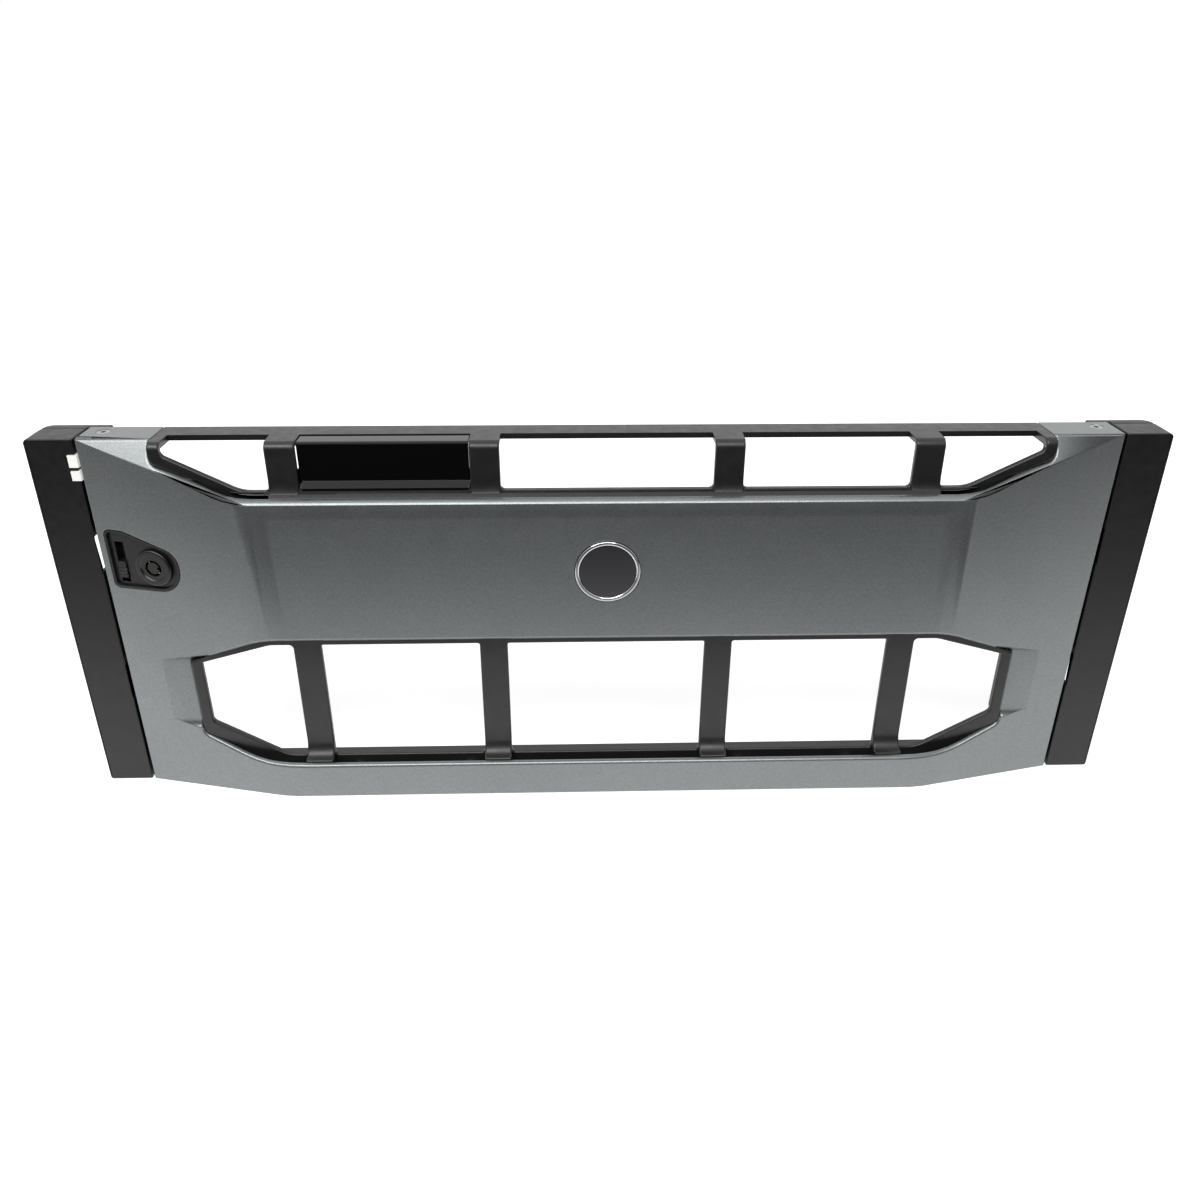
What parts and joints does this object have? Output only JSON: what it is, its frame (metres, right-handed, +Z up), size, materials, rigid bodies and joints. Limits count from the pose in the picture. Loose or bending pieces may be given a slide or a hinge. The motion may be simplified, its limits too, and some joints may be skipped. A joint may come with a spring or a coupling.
{
  "type": "server front bezel",
  "caption": "Clip-on front bezel for a rack server: faceted silver face panel over a black grille frame, closed ears, round badge, keylock and sprung release slide.",
  "frame": {"origin": "middle of the base, at the centre of the bounding box in plan", "axes": "+X to the right seen from the front, +Y from the front to the rack, +Z up"},
  "size_m": [0.4826, 0.0448, 0.172],
  "materials": {
    "silver_paint": "fine-flake silver-grey paint, satin",
    "black_frame": "moulded black, fine satin",
    "black_ear": "moulded black, fine grain",
    "black_gloss": "polished black",
    "badge_chrome": "bright plated",
    "lock_black": "black satin",
    "zinc_steel": "zinc plated",
    "spring_steel": "drawn wire",
    "brass_pins": "plain",
    "clear_light": "milky clear, polished"
  },
  "bodies": {
    "bezel": {"face_panel": "silver_paint", "grille_frame": "black_frame", "label_plate": "black_gloss", "badge_ring": "badge_chrome", "badge_disc": "black_gloss", "left_ear": "black_ear", "left_ear_back": "black_ear", "right_ear": "black_ear", "right_ear_back": "black_ear", "lock_escutcheon": "black_frame", "lock_body": "lock_black", "lock_nut": "zinc_steel", "latch_spring": "spring_steel", "upper_latch_keeper": "black_frame", "lower_latch_keeper": "black_frame", "keeper_screws": "zinc_steel", "hook_plate": "zinc_steel", "hook_plate_screws": "zinc_steel", "pulse_light_pipe": "clear_light", "power_light_pipe": "clear_light", "flange_screws": "zinc_steel", "frame_screws": "zinc_steel", "left_ear_screws": "zinc_steel", "right_ear_screws": "zinc_steel"},
    "lock_core": {"lock_plug": "lock_black", "lock_pins": "brass_pins", "lock_cam": "zinc_steel", "lock_cam_screw": "zinc_steel"},
    "release": {"release_slider": "black_frame", "slider_screw": "zinc_steel", "latch_bar": "zinc_steel"}
  },
  "joints": [
    {"name": "lock_turn", "type": "hinge", "parent": "bezel", "child": "lock_core", "pos_m": [-0.1963, -0.01045, 0.1156], "axis": [-0.224, -0.9746, 0], "range_deg": [0, 90]},
    {"name": "release_slide", "type": "slide", "parent": "bezel", "child": "release", "axis": [0, 0, 1], "range_m": [0, 0.008], "stiffness_N_per_m": 150, "springref_m": -0.006, "deforming": ["latch_spring"]}
  ]
}
